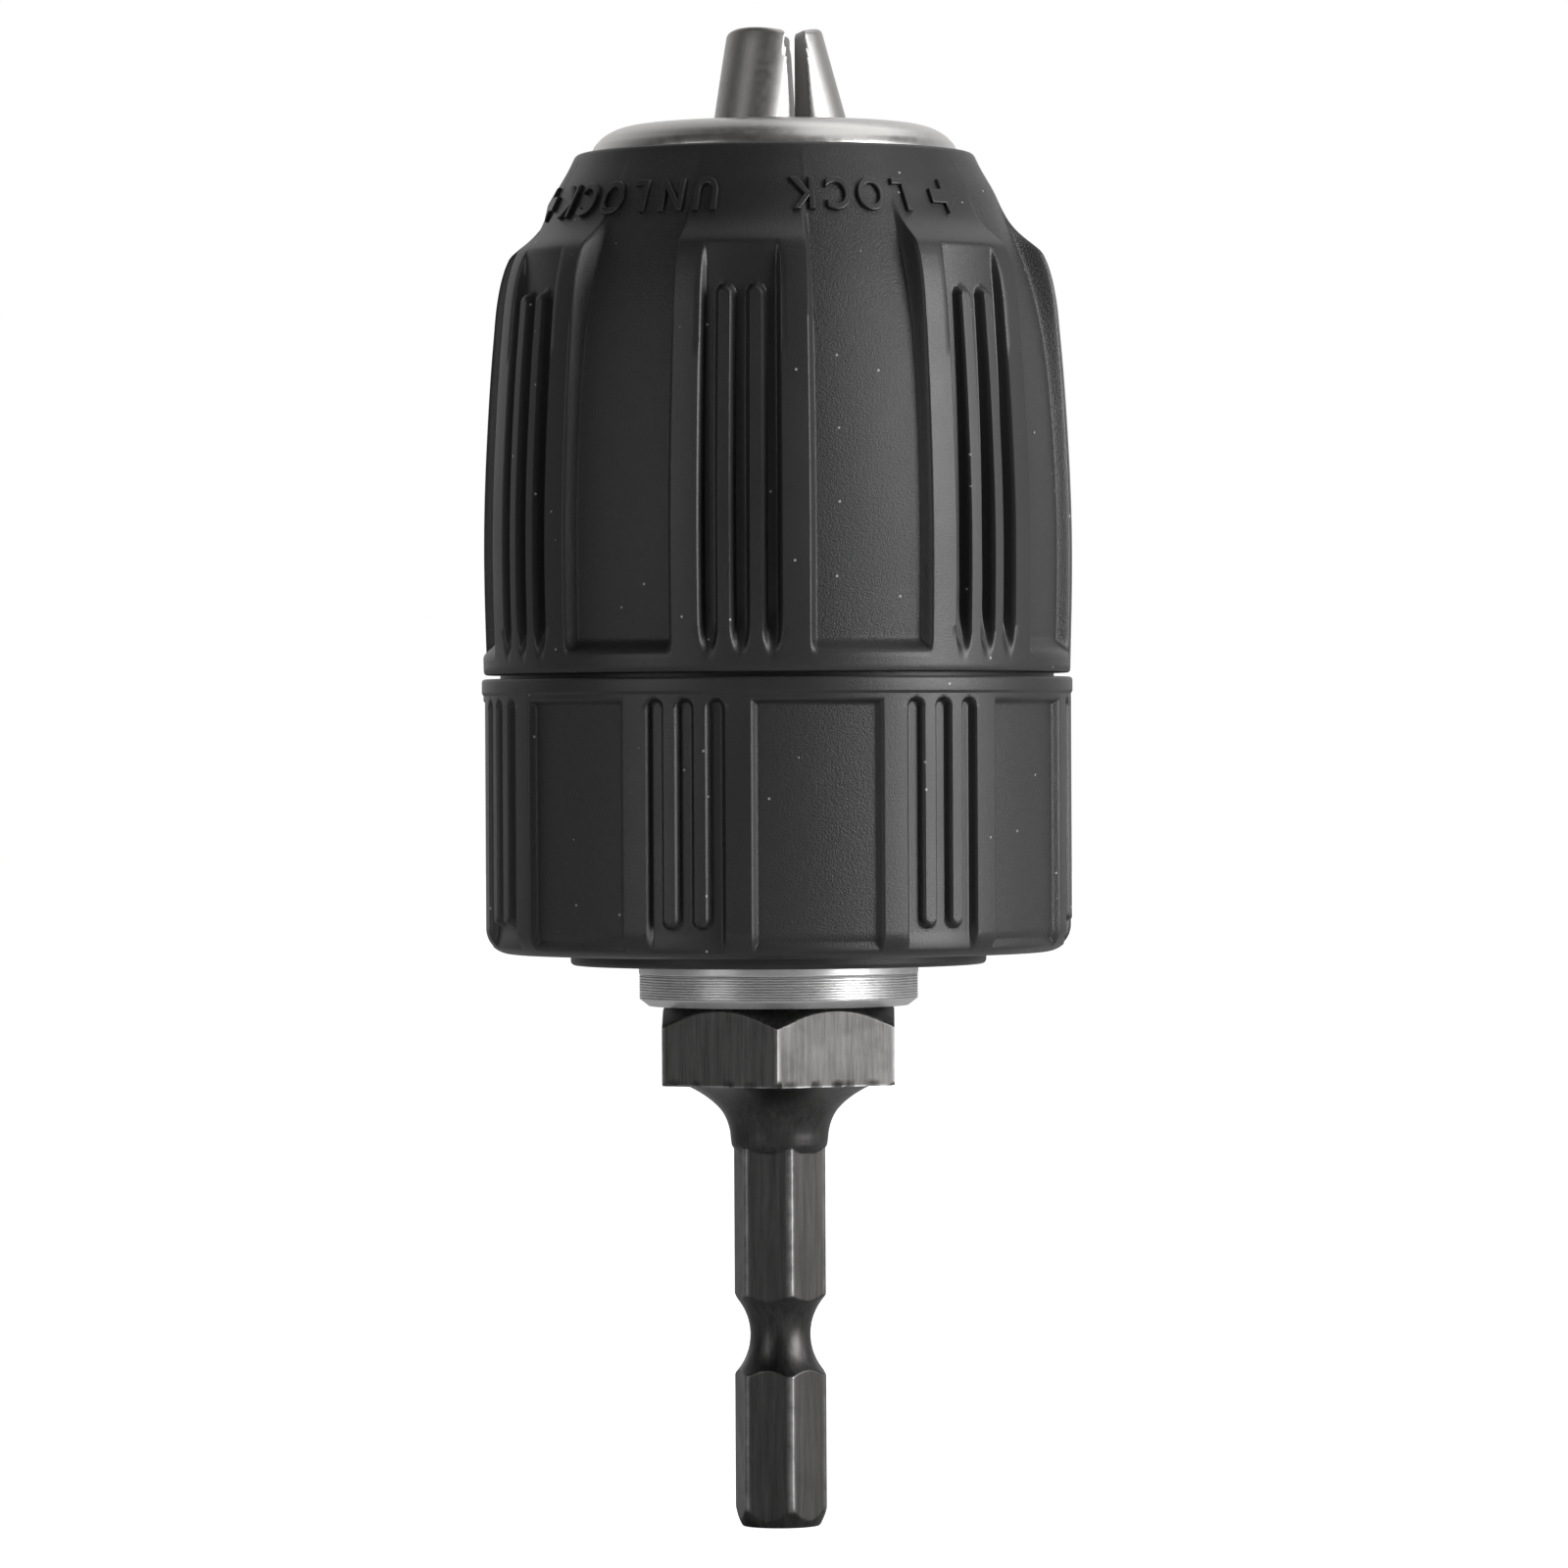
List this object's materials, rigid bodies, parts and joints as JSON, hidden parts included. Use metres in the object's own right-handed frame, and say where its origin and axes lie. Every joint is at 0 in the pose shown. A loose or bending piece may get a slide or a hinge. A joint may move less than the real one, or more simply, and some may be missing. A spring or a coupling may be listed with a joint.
{
  "type": "keyless drill chuck",
  "caption": "Keyless drill chuck with two ribbed plastic sleeves, inclined steel jaws, a domed nose ring and a quick-change hex drive adapter with a ball detent groove.",
  "frame": {"origin": "centre of the end face of the hex shank, on the spindle axis", "axes": "+Z along the spindle axis from the shank to the nose; +X to the right and -Y towards the viewer of the front"},
  "size_m": [0.0446, 0.0446, 0.1131],
  "materials": {
    "bright_steel": "turned steel",
    "hard_steel": "ground and hardened steel",
    "satin_nickel": "satin nickel plate",
    "black_plastic": "fine spark-eroded grain",
    "black_oxide": "black oxide, worn on corners",
    "cage_brass": "pressed brass strip"
  },
  "bodies": {
    "spindle": {"chuck_body": "bright_steel", "nose_ring": "satin_nickel", "thrust_washer_rear": "hard_steel", "rear_sleeve": "black_plastic", "hex_adapter": "black_oxide", "retaining_screw": "hard_steel"},
    "grip_sleeve": {"front_sleeve": "black_plastic", "nut_band": "bright_steel", "nut_half_a": "hard_steel", "nut_half_b": "hard_steel", "thrust_washer_front": "hard_steel"},
    "bearing": {"bearing_balls": "bright_steel", "ball_cage": "cage_brass"},
    "jaw_one": {"jaw_1": "hard_steel"},
    "jaw_two": {"jaw_2": "hard_steel"},
    "jaw_three": {"jaw_3": "hard_steel"}
  },
  "joints": [
    {"name": "sleeve_turn", "type": "hinge", "parent": "spindle", "child": "grip_sleeve", "pos_m": [0, 0, 0.08], "axis": [0, 0, -1], "range_deg": [-4354, 793]},
    {"name": "bearing_turn", "type": "hinge", "parent": "spindle", "child": "bearing", "pos_m": [0, 0, 0.0737], "axis": [0, 0, -1], "range_deg": [-2178, 397]},
    {"name": "jaw_1_slide", "type": "slide", "parent": "spindle", "child": "jaw_one", "axis": [0.1437, 0.2213, 0.9646], "range_m": [-0.01925, 0.00355]},
    {"name": "jaw_2_slide", "type": "slide", "parent": "spindle", "child": "jaw_two", "axis": [-0.2635, 0.0138, 0.9646], "range_m": [-0.01925, 0.00355]},
    {"name": "jaw_3_slide", "type": "slide", "parent": "spindle", "child": "jaw_three", "axis": [0.1198, -0.2351, 0.9646], "range_m": [-0.01925, 0.00355]}
  ],
  "couplings": [
    {"joint": "bearing_turn", "follows": "sleeve_turn", "ratio": 0.5},
    {"joint": "jaw_1_slide", "follows": "sleeve_turn", "m_per_rad": 0.00025266},
    {"joint": "jaw_2_slide", "follows": "sleeve_turn", "m_per_rad": 0.00025266},
    {"joint": "jaw_3_slide", "follows": "sleeve_turn", "m_per_rad": 0.00025266}
  ]
}
